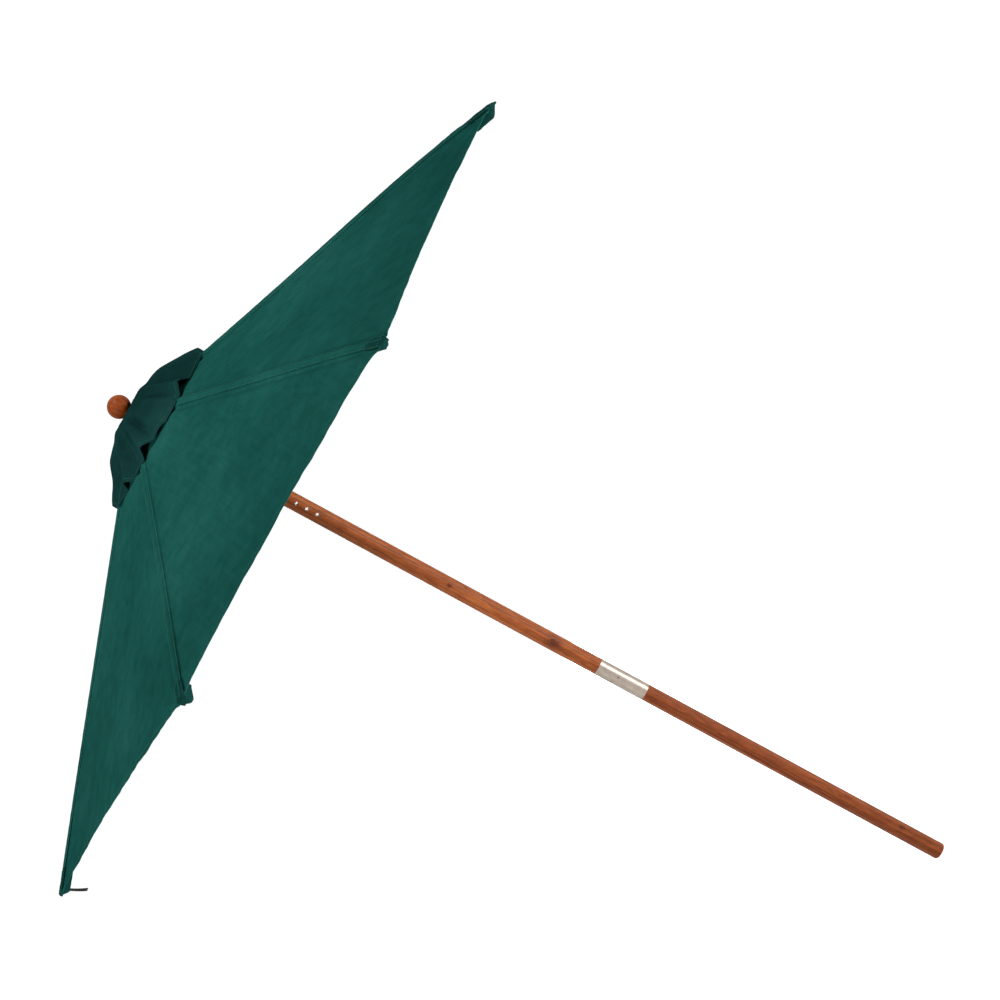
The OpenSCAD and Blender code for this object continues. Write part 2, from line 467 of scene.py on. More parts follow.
@dataclass(frozen=True)
class Metal:
    """Satin or bright metal with fine brush marks."""

    name: str
    colour: Colour
    worn: Colour
    roughness: float = 0.34
    brush: Point = (30.0, 30.0, 900.0)

    def build(self) -> bpy.types.Material:
        """Makes the material."""
        bench = Bench(self.name)
        place = bench.place("Object")
        marks = bench.cloud(bench.stretch(place, self.brush), 1.0, 4.0)
        stains = bench.cloud(place, 60.0, 4.0, 0.4)
        colour = bench.ramp(stains, ((0.35, self.worn), (0.62, self.colour)))
        smoother, rougher = (self.roughness - 0.06,) * 3, (self.roughness + 0.08,) * 3
        gloss = bench.ramp(marks, ((0.3, smoother), (0.7, rougher)))
        bench.shade(Base_Color=colour, Roughness=gloss, Metallic=1.0)
        bench.relief(marks, 0.2, 0.00008)
        return bench.material


@dataclass(frozen=True)
class Cloth:
    """Plain-woven canopy cloth with slubs and soft streaks along its threads."""

    name: str
    dark: Colour
    middle: Colour
    light: Colour
    pitch: float = 0.0011
    roughness: float = 0.72
    sheen: float = 0.15
    streak: float = 0.2

    def build(self) -> bpy.types.Material:
        """Makes the material."""
        bench = Bench(self.name)
        flat = bench.place("UV")
        slow = bench.cloud(bench.place("Object"), 3.2, 3.0, 0.3)
        streaks = bench.cloud(bench.stretch(flat, (150.0, 5.0, 1.0)), 1.0, 3.0)
        slubs = bench.cloud(bench.stretch(flat, (26.0, 900.0, 1.0)), 1.0, 2.0)
        tone = bench.maths("ADD", bench.maths("MULTIPLY", slow, 1.0 - self.streak),
                           bench.maths("MULTIPLY", streaks, self.streak))
        colour = bench.ramp(tone, ((0.38, self.dark), (0.5, self.middle), (0.62, self.light)))
        mottle = bench.cloud(bench.place("Object"), 34.0, 4.0, 0.5)
        shade = bench.ramp(mottle, ((0.35, (0.86, 0.88, 0.88)), (0.65, (1.12, 1.10, 1.10))))
        colour = bench.mix(0.8, colour, shade, "MULTIPLY")
        colour = bench.mix(bench.maths("MULTIPLY", bench.ramp(
            slubs, ((0.58, (0, 0, 0)), (0.75, (1, 1, 1)))), 0.12), colour, self.light)
        threads = []
        for axis in ("X", "Y"):
            wave = bench.add("TexWave", Vector=flat, Scale=math.pi / 10.0 / self.pitch)
            wave.bands_direction = axis
            threads.append(wave.outputs["Fac"])
        weave = bench.maths("MAXIMUM", threads[0], threads[1])
        bench.shade(Base_Color=colour, Roughness=self.roughness, Sheen_Weight=self.sheen,
                    Sheen_Roughness=0.5, Sheen_Tint=(*self.light, 1.0), Specular_IOR_Level=0.0)
        bench.relief(weave, 0.35, 0.00012)
        bench.relief(slow, 0.12, 0.002)
        return bench.material


@dataclass(frozen=True)
class Yarn:
    """Sewing thread or webbing, with its twist as a fine relief."""

    name: str
    dark: Colour
    light: Colour
    twist: float = 900.0
    roughness: float = 0.6

    def build(self) -> bpy.types.Material:
        """Makes the material."""
        bench = Bench(self.name)
        place = bench.place("Object")
        turns = bench.cloud(place, self.twist, 2.0)
        bench.shade(Base_Color=bench.ramp(turns, ((0.3, self.dark), (0.7, self.light))),
                    Roughness=self.roughness, Sheen_Weight=0.05, Specular_IOR_Level=0.08)
        bench.relief(turns, 0.4, 0.0002)
        return bench.material


class Finish(Enum):
    """The umbrella's finishes."""

    POLE = Wood("pole wood", Grain.UPRIGHT,
                knots=(((0.001, -0.019, 1.283), 0.5), ((0.0, -0.019, 1.018), 1.35)))
    LOWER_POLE = Wood("lower pole wood", Grain.UPRIGHT, dark=(0.095, 0.021, 0.005),
                      middle=(0.195, 0.046, 0.012), light=(0.310, 0.086, 0.024),
                      knots=(((0.008, -0.0172, 0.112), 0.5),))
    BALL = Wood("ball wood", Grain.UPRIGHT, dark=(0.12, 0.022, 0.004), middle=(0.21, 0.042, 0.007),
                light=(0.29, 0.070, 0.015), fibre=60.0, figure=0.7, roughness=0.5, oil=0.02)
    HUB = Wood("hub wood", Grain.UPRIGHT, fibre=48.0)
    RIB = Wood("rib wood", Grain.RIB, fibre=90.0)
    STRUT = Wood("strut wood", Grain.STRUT, fibre=90.0, tilt=21.5)
    FERRULE = Metal("ferrule metal", (0.33, 0.28, 0.235), (0.27, 0.225, 0.19))
    # Painted shade: the rivet's steel is dark, standing in for the shaded dimple the rivet sits in.
    RIVET_PAINTED_SHADE = Metal("rivet steel with painted shade", (0.16, 0.14, 0.12), (0.08, 0.07, 0.06), 0.4, (300.0, 300.0, 300.0))
    STEEL = Metal("pin steel", (0.60, 0.60, 0.59), (0.42, 0.42, 0.42), 0.28, (300.0, 300.0, 300.0))
    BRACKET = Metal("bracket zinc", (0.62, 0.61, 0.58), (0.46, 0.45, 0.42), 0.38, (200.0, 200.0, 200.0))
    CANOPY = Cloth("canopy cloth", (0.0072, 0.062, 0.052), (0.0088, 0.073, 0.061),
                   (0.012, 0.086, 0.072))
    # Painted shade: the cap's cloth is darker than the canopy's, standing in for the light from behind
    # that shines through the single canopy layer but not through the double cap.
    CAP_PAINTED_SHADE = Cloth("cap cloth with painted shade", (0.0042, 0.024, 0.022), (0.0056, 0.030, 0.028),
                (0.0080, 0.039, 0.036), streak=0.1)
    # Painted shade: the pockets' cloth is darker than the canopy's, standing in for the shadow the pockets
    # lie in.
    POCKET = Cloth("pocket cloth", (0.0042, 0.030, 0.026), (0.0056, 0.038, 0.033),
                   (0.0082, 0.050, 0.044), streak=0.1)
    THREAD = Yarn("seam thread", (0.010, 0.095, 0.072), (0.022, 0.150, 0.115))
    WEBBING = Yarn("strap webbing", (0.004, 0.004, 0.004), (0.02, 0.02, 0.02), 700.0, 0.8)


class Shelf:
    """Keeps each finish's material, so that it is made once."""

    def __init__(self) -> None:
        """Starts with an empty shelf."""
        self._made: dict[Finish, bpy.types.Material] = {}

    def get(self, finish: Finish) -> bpy.types.Material:
        """Gives a finish's material."""
        if finish not in self._made:
            self._made[finish] = finish.value.build()
        return self._made[finish]

    def paint(self, piece: bpy.types.Object, finish: Finish) -> None:
        """Puts one finish on the whole of a piece."""
        material = self.get(finish)
        if piece.material_slots:
            for place in piece.material_slots:
                place.material = material
        else:
            piece.data.materials.append(material)


# ---------------------------------------------------------------- Geometry Nodes


class NodeTree:
    """A Geometry Nodes tree with named inputs, built in the script."""

    def __init__(self, name: str, inputs: Sequence[tuple[str, str]]) -> None:
        """Starts a tree.

        Args:
            name: the tree's name.
            inputs: name and socket type of each input after the geometry.
        """
        self.group = bpy.data.node_groups.new(name, "GeometryNodeTree")
        face = self.group.interface
        face.new_socket("Geometry", in_out="INPUT", socket_type="NodeSocketGeometry")
        for title, kind in inputs:
            face.new_socket(title, in_out="INPUT", socket_type=kind)
        face.new_socket("Geometry", in_out="OUTPUT", socket_type="NodeSocketGeometry")
        self.start = self.group.nodes.new("NodeGroupInput")
        self.end = self.group.nodes.new("NodeGroupOutput")

    def add(self, kind: str, **sockets: object) -> bpy.types.Node:
        """Adds a node and sets or joins its inputs; spaces in a name are written as _."""
        node = self.group.nodes.new(kind)
        for name, value in sockets.items():
            socket = node.inputs[name.replace("_", " ")]
            if isinstance(value, bpy.types.NodeSocket):
                self.group.links.new(value, socket)
            else:
                socket.default_value = value
        return node

    def given(self, name: str) -> bpy.types.NodeSocket:
        """Gives the tree's input of that name."""
        return self.start.outputs[name]

    def finish(self, instances: bpy.types.NodeSocket) -> None:
        """Ends the tree with Realize Instances, smooth faces and Set Material."""
        real = self.add("GeometryNodeRealizeInstances", Geometry=instances)
        round_ = self.add("GeometryNodeSetShadeSmooth", Geometry=real.outputs[0])
        painted = self.add("GeometryNodeSetMaterial", Geometry=round_.outputs[0],
                           Material=self.given("Finish"))
        self.group.links.new(painted.outputs[0], self.end.inputs[0])

    def apply(self, piece: bpy.types.Object, **values: object) -> bpy.types.Object:
        """Runs the tree on a host piece and keeps the result as its plain mesh.

        Args:
            piece: the host.
            **values: the tree's inputs by name; spaces are written as _.

        Returns:
            The same piece.
        """
        run = piece.modifiers.new(self.group.name, "NODES")
        run.node_group = self.group
        for item in self.group.interface.items_tree:
            if item.in_out == "INPUT" and item.name.replace(" ", "_") in values:
                run[item.identifier] = values[item.name.replace(" ", "_")]
        settle(piece)
        return piece


def stitch_tree() -> NodeTree:
    """Makes the tree that sews stitches along the edges of its host."""
    tree = NodeTree("stitches", [("Pitch", "NodeSocketFloat"), ("Length", "NodeSocketFloat"),
                                 ("Thread radius", "NodeSocketFloat"),
                                 ("Finish", "NodeSocketMaterial")])
    path = tree.add("GeometryNodeMeshToCurve", Mesh=tree.given("Geometry"))
    points = tree.group.nodes.new("GeometryNodeCurveToPoints")
    points.mode = "LENGTH"
    tree.group.links.new(path.outputs[0], points.inputs["Curve"])
    tree.group.links.new(tree.given("Pitch"), points.inputs["Length"])
    bead = tree.add("GeometryNodeMeshUVSphere", Segments=6, Rings=5, Radius=1.0)
    size = tree.add("ShaderNodeCombineXYZ", X=tree.given("Thread radius"),
                    Y=tree.given("Thread radius"), Z=tree.given("Length"))
    placed = tree.add("GeometryNodeInstanceOnPoints", Points=points.outputs["Points"],
                      Instance=bead.outputs["Mesh"], Rotation=points.outputs["Rotation"],
                      Scale=size.outputs[0])
    tree.finish(placed.outputs[0])
    return tree


def screw_tree() -> NodeTree:
    """Makes the tree that puts a domed screw head on each vertex of its host."""
    tree = NodeTree("screw heads", [("Head radius", "NodeSocketFloat"),
                                    ("Head height", "NodeSocketFloat"),
                                    ("Facing", "NodeSocketVector"),
                                    ("Finish", "NodeSocketMaterial")])
    points = tree.add("GeometryNodeMeshToPoints", Mesh=tree.given("Geometry"))
    dome = tree.add("GeometryNodeMeshUVSphere", Segments=20, Rings=10, Radius=1.0)
    size = tree.add("ShaderNodeCombineXYZ", X=tree.given("Head radius"),
                    Y=tree.given("Head radius"), Z=tree.given("Head height"))
    turn = tree.add("FunctionNodeAlignRotationToVector", Vector=tree.given("Facing"))
    turn.axis = "Z"
    placed = tree.add("GeometryNodeInstanceOnPoints", Points=points.outputs[0],
                      Instance=dome.outputs["Mesh"], Rotation=turn.outputs[0],
                      Scale=size.outputs[0])
    tree.finish(placed.outputs[0])
    return tree


# ---------------------------------------------------------------- the canopy's rule


@dataclass(frozen=True)
class Ridge:
    """How far the cloth stands over one rib."""

    bow: float = 0.003
    corner: float = 0.001

    def lift(self, reach: float) -> float:
        """Height over the rib's straight line, at a distance from the pole."""
        return self.bow * bell(reach, 0.80, 0.28, 0.18) + self.corner * reach ** 3


@dataclass(frozen=True)
class CanopyRule:
    """The canopy's planes, which the gores, seams and pockets share."""

    sides: int = 8
    apex_z: float = 2.070
    rim_z: float = 1.728
    corner_r: float = 1.000
    vent_r: float = 0.120
    ridges: tuple[Ridge, ...] = (
        Ridge(0.006, 0.002), Ridge(0.004, 0.003), Ridge(0.003, 0.001), Ridge(0.003, 0.002),
        Ridge(0.0005, 0.0), Ridge(0.001, 0.009), Ridge(0.003, 0.0), Ridge(0.009, 0.004))
    rim_cuts: tuple[float, ...] = (0.012, 0.010, 0.012, 0.011, 0.012, 0.014, 0.020, 0.010)
    rim_arches: tuple[float, ...] = (0.002, 0.002, 0.002, 0.002, 0.002, 0.001, 0.002, 0.000)

    @property
    def half(self) -> float:
        """Half the angle of a gore, in radians."""
        return math.pi / self.sides

    @property
    def slope(self) -> float:
        """Fall for each metre outwards, along a rib."""
        return (self.apex_z - self.rim_z) / self.corner_r

    @property
    def tilt(self) -> float:
        """A gore's tilt from level, in radians."""
        return math.atan(self.slope / math.cos(self.half))

    def gore_turn(self, k: int) -> float:
        """Azimuth of gore k's middle line, in radians."""
        return 2.0 * self.half * (k - 1)

    def rib_turn(self, k: int) -> float:
        """Azimuth of rib k, in radians."""
        return self.half + 2.0 * self.half * (k - 1)

    def out(self, turn: float) -> Vector:
        """Level direction away from the pole."""
        return Vector((math.cos(turn), math.sin(turn), 0.0))

    def side(self, turn: float) -> Vector:
        """Level direction across, towards a greater azimuth."""
        return Vector((-math.sin(turn), math.cos(turn), 0.0))

    def normal(self, k: int) -> Vector:
        """Outward normal of gore k, whose index may run past the last one."""
        return self.out(self.gore_turn(k)) * math.sin(self.tilt) + Vector((0, 0, math.cos(self.tilt)))

    def over_rib(self, k: int, reach: float) -> float:
        """Height of the cloth over rib k at a distance from the pole."""
        return self.apex_z - self.slope * reach + self.ridges[(k - 1) % self.sides].lift(reach)

    def reach(self, k: int, v: float, a: float) -> float:
        """How far out a point of gore k lies, counted along the ribs.

        Args:
            k: the gore.
            v: 0 at the vent's edge, 1 at the rim.
            a: -1 and 1 at the two ribs.

        Returns:
            The distance in metres.
        """
        cut = self.rim_cuts[k - 1] * (1.0 - abs(a) ** 2.2)
        return self.vent_r + (self.corner_r - cut - self.vent_r) * v

    def point(self, k: int, reach: float, a: float, lift: float = 0.0) -> Vector:
        """A point on gore k.

        Args:
            k: the gore.
            reach: distance from the pole, counted along the ribs.
            a: -1 and 1 at the two ribs.
            lift: height over the gore's plane.

        Returns:
            The point.
        """
        turn = self.gore_turn(k)
        level = self.out(turn) * (reach * math.cos(self.half)) + self.side(turn) * (
            a * reach * math.sin(self.half))
        before, after = self.over_rib(k - 1, reach), self.over_rib(k, reach)
        arch = self.rim_arches[k - 1] * (1.0 - a * a) * smooth(reach, 0.55, 1.0)
        height = before + (after - before) * (a + 1.0) / 2.0 + arch
        return level + Vector((0, 0, height)) + self.normal(k) * lift

    def beside_rib(self, k: int, reach: float, across: float, lift: float) -> Vector:
        """A point beside the ridge over rib k.

        Args:
            k: the rib.
            reach: distance from the pole, along the rib.
            across: distance from the ridge, below 0 towards gore k, above 0 towards gore k + 1.
            lift: height over the cloth.

        Returns:
            The point.
        """
        turn = self.rib_turn(k)
        ridge = (self.out(turn) - Vector((0, 0, self.slope))).normalized()
        gore = k if across < 0 else k + 1
        face = self.normal(gore)
        inward = face.cross(ridge).normalized()
        if inward.dot(self.side(turn)) < 0:
            inward = -inward
        up = (self.normal(k) + self.normal(k + 1)).normalized()
        share = smooth(abs(across), 0.0, 0.003)
        lifted = (up * (1.0 - share) + face * share) * lift
        base = self.out(turn) * reach + Vector((0, 0, self.over_rib(k, reach)))
        return base + inward * across + lifted


@dataclass
class Gore:
    """One of the canopy's eight sewn panels, with its rim turned under."""

    rule: CanopyRule
    number: int
    streaks: float = 1.0
    thickness: float = 0.0007
    hem: float = 0.014
    hem_radius: float = 0.0011
    columns: int = 160
    rows: int = 104
    rim_rows_count: int = 18
    rim_share: float = 0.034
    stitch_inset: float = 0.0115
    stitch_pitch: float = 0.0042
    crease_count: int = 15
    crease_width: float = 0.007
    bow: float = 0.0042
    long_fold: float = 0.0010
    fine_fold: float = 0.0003
    corner_pull: float = 0.0030
    pucker: float = 0.0007
    tuck: float = -0.0085
    tuck_place: float = 0.0165
    thread_radius: float = 0.0006
    keep_folded: float = 0.115
    creases: list[tuple[float, ...]] = field(default_factory=list)
    piece: Optional[bpy.types.Object] = None
    stitches: Optional[bpy.types.Object] = None

    def __post_init__(self) -> None:
        """Chooses the gore's soft creases, the same in each run."""
        chance = random.Random(100 + self.number)
        for _ in range(self.crease_count):
            reach = chance.uniform(0.3, 0.93)
            across = chance.uniform(-0.8, 0.8) * reach * math.sin(self.rule.half)
            self.creases.append((across, reach, chance.uniform(-0.7, 0.7),
                                 chance.uniform(0.03, 0.11), chance.uniform(0.0012, 0.0038)))

    @property
    def length(self) -> float:
        """Length of the flat cloth from the vent's edge to the rim, without the hem."""
        rule = self.rule
        return (rule.corner_r - rule.vent_r) * math.cos(rule.half) / math.cos(rule.tilt)

    @property
    def flat(self) -> tuple[float, float]:
        """Width and length of the flat cloth, with the hem."""
        return 2 * self.rule.corner_r * math.sin(self.rule.half), self.length + self.hem

    @property
    def area(self) -> float:
        """Area of the flat cloth, which narrows towards the vent."""
        width = self.flat[0]
        inner = 2 * self.rule.vent_r * math.sin(self.rule.half)
        return (width + inner) / 2 * self.length + width * self.hem

    def lift(self, reach: float, a: float) -> float:
        """Height of the cloth's folds and wrinkles.

        Args:
            reach: distance from the pole, along the ribs.
            a: -1 and 1 at the two ribs.

        Returns:
            The height over the gore's plane.
        """
        seed = 7.3 * self.number
        half_width = reach * math.sin(self.rule.half)
        across = a * half_width
        beside = (1.0 - abs(a)) * half_width
        free = smooth(beside, 0.004, 0.045)
        to_rim = self.rule.corner_r - reach
        wide = self.bow * ripple(across * 5.5, reach * 2.2, seed)
        long = self.long_fold * self.streaks * ripple(across * 26.0, reach * 3.0, seed + 3.0)
        fine = self.fine_fold * self.streaks * ripple(across * 80.0, reach * 9.0, seed + 5.0)
        for x, r, heading, size, depth in self.creases:
            dx, dr = across - x, reach - r
            far = (dx * math.sin(heading) + dr * math.cos(heading)) / size
            near = (dx * math.cos(heading) - dr * math.sin(heading)) / self.crease_width
            if abs(far) < 2.5 and abs(near) < 4.0:
                fine += depth * math.exp(-far * far) * near * math.exp(-near * near)
        corner = math.hypot(beside, to_rim)
        spoke = math.atan2(to_rim, beside)
        pull = self.corner_pull * math.exp(-corner / 0.10) * smooth(corner, 0.03, 0.07) * math.cos(
            11.0 * spoke + 1.5 * ripple(corner * 9.0, spoke, seed)) * smooth(spoke, 0.10, 0.35)
        pucker = math.exp(-max(0.0, to_rim - self.rule.rim_cuts[self.number - 1]) / 0.014) * (
            self.pucker * ripple(across * 45.0, 0.0, seed + 8.0))
        tuck = self.tuck * bell(beside, self.tuck_place, 0.0035, 0.010) * smooth(reach, 0.14, 0.24) * (
            0.55 + 0.55 * ripple(reach * 5.0, a, seed)) * (1.0 if a > 0 else 0.5)
        cut = self.rule.rim_cuts[self.number - 1] * (1.0 - abs(a) ** 2.2)
        hem = to_rim - cut
        sewn = 0.0005 * smooth(-hem, -self.hem - 0.002, -self.hem + 0.001) - 0.0009 * bell(
            hem, self.stitch_inset, 0.0018, 0.0018)
        return free * (wide + long + fine + pucker) + pull + tuck + sewn

    def shares(self) -> list[float]:
        """Steps from the vent's edge, 0, to the rim, 1, closer together along the hem."""
        inner = 1.0 - self.rim_share
        main = [inner * (i / self.rows) ** 0.92 for i in range(self.rows)]
        return main + [inner + self.rim_share * i / self.rim_rows_count
                       for i in range(self.rim_rows_count + 1)]

    def rim_rows(self) -> list[tuple[float, float]]:
        """Steps of the turned-under rim: how far outwards and how far below the cloth."""
        turned = [(self.hem_radius * math.sin(b), -self.hem_radius * (1 - math.cos(b)))
                  for b in (math.pi * i / 6 for i in range(1, 7))]
        return turned + [(-self.hem * i / 3, -2 * self.hem_radius) for i in range(1, 4)]

    def build(self, shelf: Shelf, sewing: NodeTree) -> None:
        """Makes the panel and its hem stitches, and attaches them to the panel's body.

        Args:
            shelf: where the finishes come from.
            sewing: the tree that sews stitches.
        """
        rule, k = self.rule, self.number
        shares = [-1.0 + 2.0 * j / self.columns for j in range(self.columns + 1)]
        steps = self.shares()
        rows = [[rule.point(k, rule.reach(k, v, a), a, self.lift(rule.reach(k, v, a), a))
                 for a in shares] for v in steps]
        turn = rule.gore_turn(k)
        down = rule.out(turn) * math.cos(rule.tilt) - Vector((0, 0, math.sin(rule.tilt)))
        rim = list(rows[-1])
        for out, below in self.rim_rows():
            rows.append([p + down * out + rule.normal(k) * below for p in rim])

        def uv(i: int, j: int) -> tuple[float, float]:
            """Place on the flat cloth."""
            reach = rule.reach(k, steps[min(i, len(steps) - 1)], 0.0)
            past = max(0, i - len(steps) + 1) * 0.002
            return shares[min(j, self.columns)] * reach * math.sin(rule.half) + k, reach + past

        self.piece = new_object(f"canopy_gore_{k}", grid_mesh(f"gore_{k}", rows, uv))
        thicken(self.piece, self.thickness)
        shelf.paint(self.piece, Finish.CANOPY)
        sewn = []
        for a in shares[4:-4]:
            reach = rule.reach(k, 1.0, a) - self.stitch_inset
            sewn.append(rule.point(k, reach, a, self.lift(reach, a) + 0.0002))
        self.stitches = sewing.apply(outline(sewn, f"hem_stitches_{k}"), Pitch=self.stitch_pitch,
                                     Length=0.0015, Thread_radius=self.thread_radius,
                                     Finish=shelf.get(Finish.THREAD))
        middle = rule.point(k, rule.corner_r / 2, 0.0)
        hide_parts(f"canopy_panel_{k}")
        for piece in (self.piece, self.stitches):
            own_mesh(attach(piece, f"panel_{k}"), FOLD_JOINT, axis=tuple(rule.side(turn)),
                      anchor=tuple(middle), keep=self.keep_folded)
        LOG.info("gore %d: %d faces, %.3f square metres", k, len(self.piece.data.polygons), self.area)


@dataclass(frozen=True)
class PocketEnd:
    """How far a rib's pocket runs past the corner, and its share of width and depth there."""

    overhang: float = 0.004
    width: float = 0.55
    depth: float = 0.34


POCKET_ENDS = {5: PocketEnd(0.0005, 0.36, 0.2), 8: PocketEnd(0.013, 0.14, 0.12)}


@dataclass
class RibSeam:
    """The felled seam over a rib, with its two rows of stitches and the pocket on the rib's end."""

    rule: CanopyRule
    number: int
    width: float = 0.011
    thickness: float = 0.0006
    pocket_width: float = 0.0150
    pocket_length: float = 0.056
    end: PocketEnd = PocketEnd()
    channel: float = 0.0098
    depth: float = 0.0198
    rib_taper: float = 0.0135
    rib_end: float = 0.015
    round_points: int = 40
    band_steps: int = 260
    band_stop: float = 0.004
    band_lift: float = 0.0009
    crest: float = 0.0026
    row_place: float = 0.0085
    row_lift: float = 0.0011
    pieces: list[bpy.types.Object] = field(default_factory=list)

    def band(self, shelf: Shelf) -> bpy.types.Object:
        """Makes the band of folded cloth along the ridge."""
        rule, k = self.rule, self.number
        steps, across = self.band_steps, 24
        rows = []
        for i in range(steps + 1):
            reach = rule.vent_r + (rule.corner_r - self.band_stop - rule.vent_r) * i / steps
            edge = self.width + 0.0007 * ripple(reach * 30.0, 0.0, k)
            row = []
            for j in range(across + 1):
                w = edge * (2.0 * j / across - 1.0)
                crest = self.crest * bell(w, 0.003, 0.004, 0.003)
                edge_lift = 0.0004 * ripple(reach * 60.0, w * 90.0, k + 20.0)
                row.append(rule.beside_rib(k, reach, w, self.band_lift + crest + edge_lift))
            rows.append(row)
        band = new_object(f"rib_seam_{k}", grid_mesh(f"seam_{k}", rows, lambda i, j: (
            j * 0.001 + k, i * 0.0034)))
        thicken(band, self.thickness)
        shelf.paint(band, Finish.CANOPY)
        return band

    def half_width(self, inboard: float) -> float:
        """Half the pocket's width away from its end, where it narrows towards the pole."""
        return self.pocket_width * (1.0 - 0.10 * smooth(inboard, 0.02, 0.06))

    def reach(self, inboard: float) -> float:
        """Distance from the pole of a place on the pocket."""
        return self.rule.corner_r - inboard * math.cos(math.atan(self.rule.slope))

    def section(self, inboard: float) -> list[tuple[float, float]]:
        """The pocket's closed outline at a distance from the corner.

        Args:
            inboard: distance inwards from the canopy's corner, below 0 past it.

        Returns:
            Points (across, lift over the cloth), starting at the gore k side.
        """
        full = smooth(inboard, -self.end.overhang, 0.0125)
        wide = self.half_width(inboard) * (self.end.width + (1.0 - self.end.width) * full)
        top = 0.0016 - 0.0035 * (1.0 - smooth(inboard, -self.end.overhang, 0.003))
        raised = self.rule.ridges[self.number - 1].lift(self.rule.corner_r - inboard)
        raised += self.rib_taper * max(0.0, inboard - self.rib_end)
        deep = (self.depth + raised) * (self.end.depth + (1.0 - self.end.depth) * full)
        half = self.round_points // 2
        points = []
        for i in range(half + 1):
            x = -wide * math.cos(math.pi * i / half)
            points.append((x, top + 0.0012 * (1 - (x / wide) ** 2)))
        for i in range(1, half):
            x = wide * math.cos(math.pi * i / half)
            hang = 1.0 - smooth(abs(x), self.channel * 0.75, max(self.channel + 0.002, wide * 0.93))
            points.append((x, top - 0.0022 - (deep - 0.0022) * hang))
        return points

    def pocket(self, shelf: Shelf) -> bpy.types.Object:
        """Makes the sewn pocket that holds the rib's end."""
        rule, k = self.rule, self.number
        stations = [-self.end.overhang + (self.pocket_length + self.end.overhang) * (i / 30) ** 1.5
                    for i in range(31)]
        rows = []
        for inboard in reversed(stations):
            reach = self.reach(inboard)
            crumple = 0.0007 * ripple(inboard * 90.0, k * 3.0, 4.0)
            rows.append([rule.beside_rib(k, reach, x, y + crumple + 0.0006 * ripple(
                inboard * 120.0, x * 160.0, k + 40.0)) for x, y in self.section(inboard)])
        mesh = grid_mesh(f"pocket_{k}", rows, lambda i, j: (j * 0.0012 + k, i * 0.0022), loop=True)
        close_ends(mesh, self.round_points, len(rows))
        pocket = new_object(f"tip_pocket_{k}", mesh)
        # The pocket gets the darker cloth, as painted shade.
        shelf.paint(pocket, Finish.POCKET)
        return pocket

    def sewing(self, shelf: Shelf, tree: NodeTree) -> bpy.types.Object:
        """Sews the seam's two rows and the rows along the pocket."""
        rule, k = self.rule, self.number
        chain: list = []
        run = rule.corner_r - 0.064 - rule.vent_r
        for w in (-self.row_place, self.row_place):
            for i in range(self.band_steps + 1):
                reach = rule.vent_r + 0.004 + run * i / self.band_steps
                chain.append(rule.beside_rib(k, reach, w, self.row_lift))
            chain.append(None)
        for side in (-1.0, 1.0):
            for i in range(13):
                inboard = 0.006 + 0.048 * i / 12
                wide = self.half_width(inboard) - 0.0028
                chain.append(rule.beside_rib(k, self.reach(inboard), side * wide, 0.0024))
            chain.append(None)
        for inboard in (0.011, 0.019, 0.050):
            for i in range(13):
                w = (self.pocket_width - 0.004) * (i / 6 - 1.0)
                chain.append(rule.beside_rib(k, self.reach(inboard), w, 0.0031))
            chain.append(None)
        return tree.apply(outline(chain, f"seam_stitches_{k}"), Pitch=0.0040, Length=0.0015,
                          Thread_radius=0.0005, Finish=shelf.get(Finish.THREAD))

    def build(self, shelf: Shelf, tree: NodeTree) -> None:
        """Makes the seam's pieces, which ride on the rib."""
        self.pieces = [self.band(shelf), self.pocket(shelf), self.sewing(shelf, tree)]
        for piece in self.pieces:
            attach(piece, f"rib_{self.number}")
        LOG.info("seam and pocket on rib %d", self.number)


@dataclass(frozen=True)
class Flounce:
    """How the vent cap's edge stands up in one gore, with a second wave beside it."""

    peak: float
    lift: float
    left: float
    right: float
    wave: float = 0.0
    wave_place: float = 0.5
    wave_width: float = 0.2

    def stand(self, a: float) -> float:
        """Height at a place from -1 to 1 across the gore."""
        wave = self.wave * bell(a, self.wave_place, self.wave_width, self.wave_width)
        return self.lift * bell(a, self.peak, self.left, self.right) + wave


